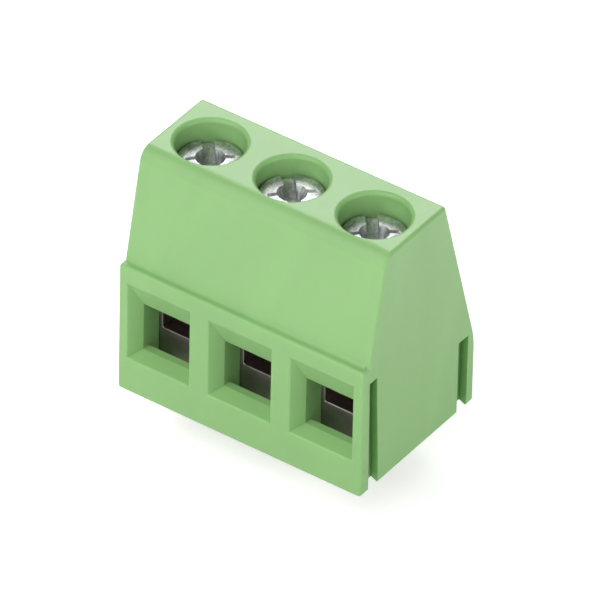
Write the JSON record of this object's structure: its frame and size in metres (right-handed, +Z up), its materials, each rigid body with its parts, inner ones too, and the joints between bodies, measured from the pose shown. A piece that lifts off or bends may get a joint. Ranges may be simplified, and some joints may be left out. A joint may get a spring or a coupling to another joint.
{
  "type": "pcb screw terminal",
  "caption": "Board-mounted screw terminal with side wire mouths, rising clamp cages under screws in open wells, solder pins and dovetailed ends.",
  "frame": {"origin": "on the axis of the middle solder pin, in the plane of the board's top face", "axes": "+X along the row of poles, towards the end with the grooves; -Y towards the wire side; +Z up out of the board, towards the screw heads"},
  "size_m": [0.0156, 0.0101, 0.0169],
  "materials": {
    "moulded_plastic": "light green polyamide, satin, fine moulded texture",
    "screw_steel": "zinc-plated steel, bright, with tool marks in the recess",
    "cage_plating": "nickel-plated brass, satin",
    "contact_strip": "tinned copper alloy strip, satin",
    "tinned_pin": "tin-plated, soft sheen"
  },
  "bodies": {
    "block": {"housing": "moulded_plastic", "contact_1": "contact_strip", "contact_2": "contact_strip", "contact_3": "contact_strip", "solder_pin_1": "tinned_pin", "solder_pin_2": "tinned_pin", "solder_pin_3": "tinned_pin"},
    "screw_1": {"screw_1": "screw_steel"},
    "cage_1": {"clamp_cage_1": "cage_plating"},
    "screw_2": {"screw_2": "screw_steel"},
    "cage_2": {"clamp_cage_2": "cage_plating"},
    "screw_3": {"screw_3": "screw_steel"},
    "cage_3": {"clamp_cage_3": "cage_plating"}
  },
  "joints": [
    {"name": "screw_1_turn", "type": "hinge", "parent": "block", "child": "screw_1", "pos_m": [-0.00508, -0.00164, 0.012], "axis": [0, 0, -1], "range_deg": [0, 1800.1]},
    {"name": "cage_1_lift", "type": "slide", "parent": "block", "child": "cage_1", "axis": [0, 0, 1], "range_m": [0, 0.00225]},
    {"name": "screw_2_turn", "type": "hinge", "parent": "block", "child": "screw_2", "pos_m": [0, -0.00164, 0.012], "axis": [0, 0, -1], "range_deg": [0, 1800.1]},
    {"name": "cage_2_lift", "type": "slide", "parent": "block", "child": "cage_2", "axis": [0, 0, 1], "range_m": [0, 0.00225]},
    {"name": "screw_3_turn", "type": "hinge", "parent": "block", "child": "screw_3", "pos_m": [0.00508, -0.00164, 0.012], "axis": [0, 0, -1], "range_deg": [0, 1800.1]},
    {"name": "cage_3_lift", "type": "slide", "parent": "block", "child": "cage_3", "axis": [0, 0, 1], "range_m": [0, 0.00225]}
  ],
  "couplings": [
    {"joint": "screw_1_turn", "follows": "cage_1_lift", "rad_per_m": 13963},
    {"joint": "screw_2_turn", "follows": "cage_2_lift", "rad_per_m": 13963},
    {"joint": "screw_3_turn", "follows": "cage_3_lift", "rad_per_m": 13963}
  ]
}
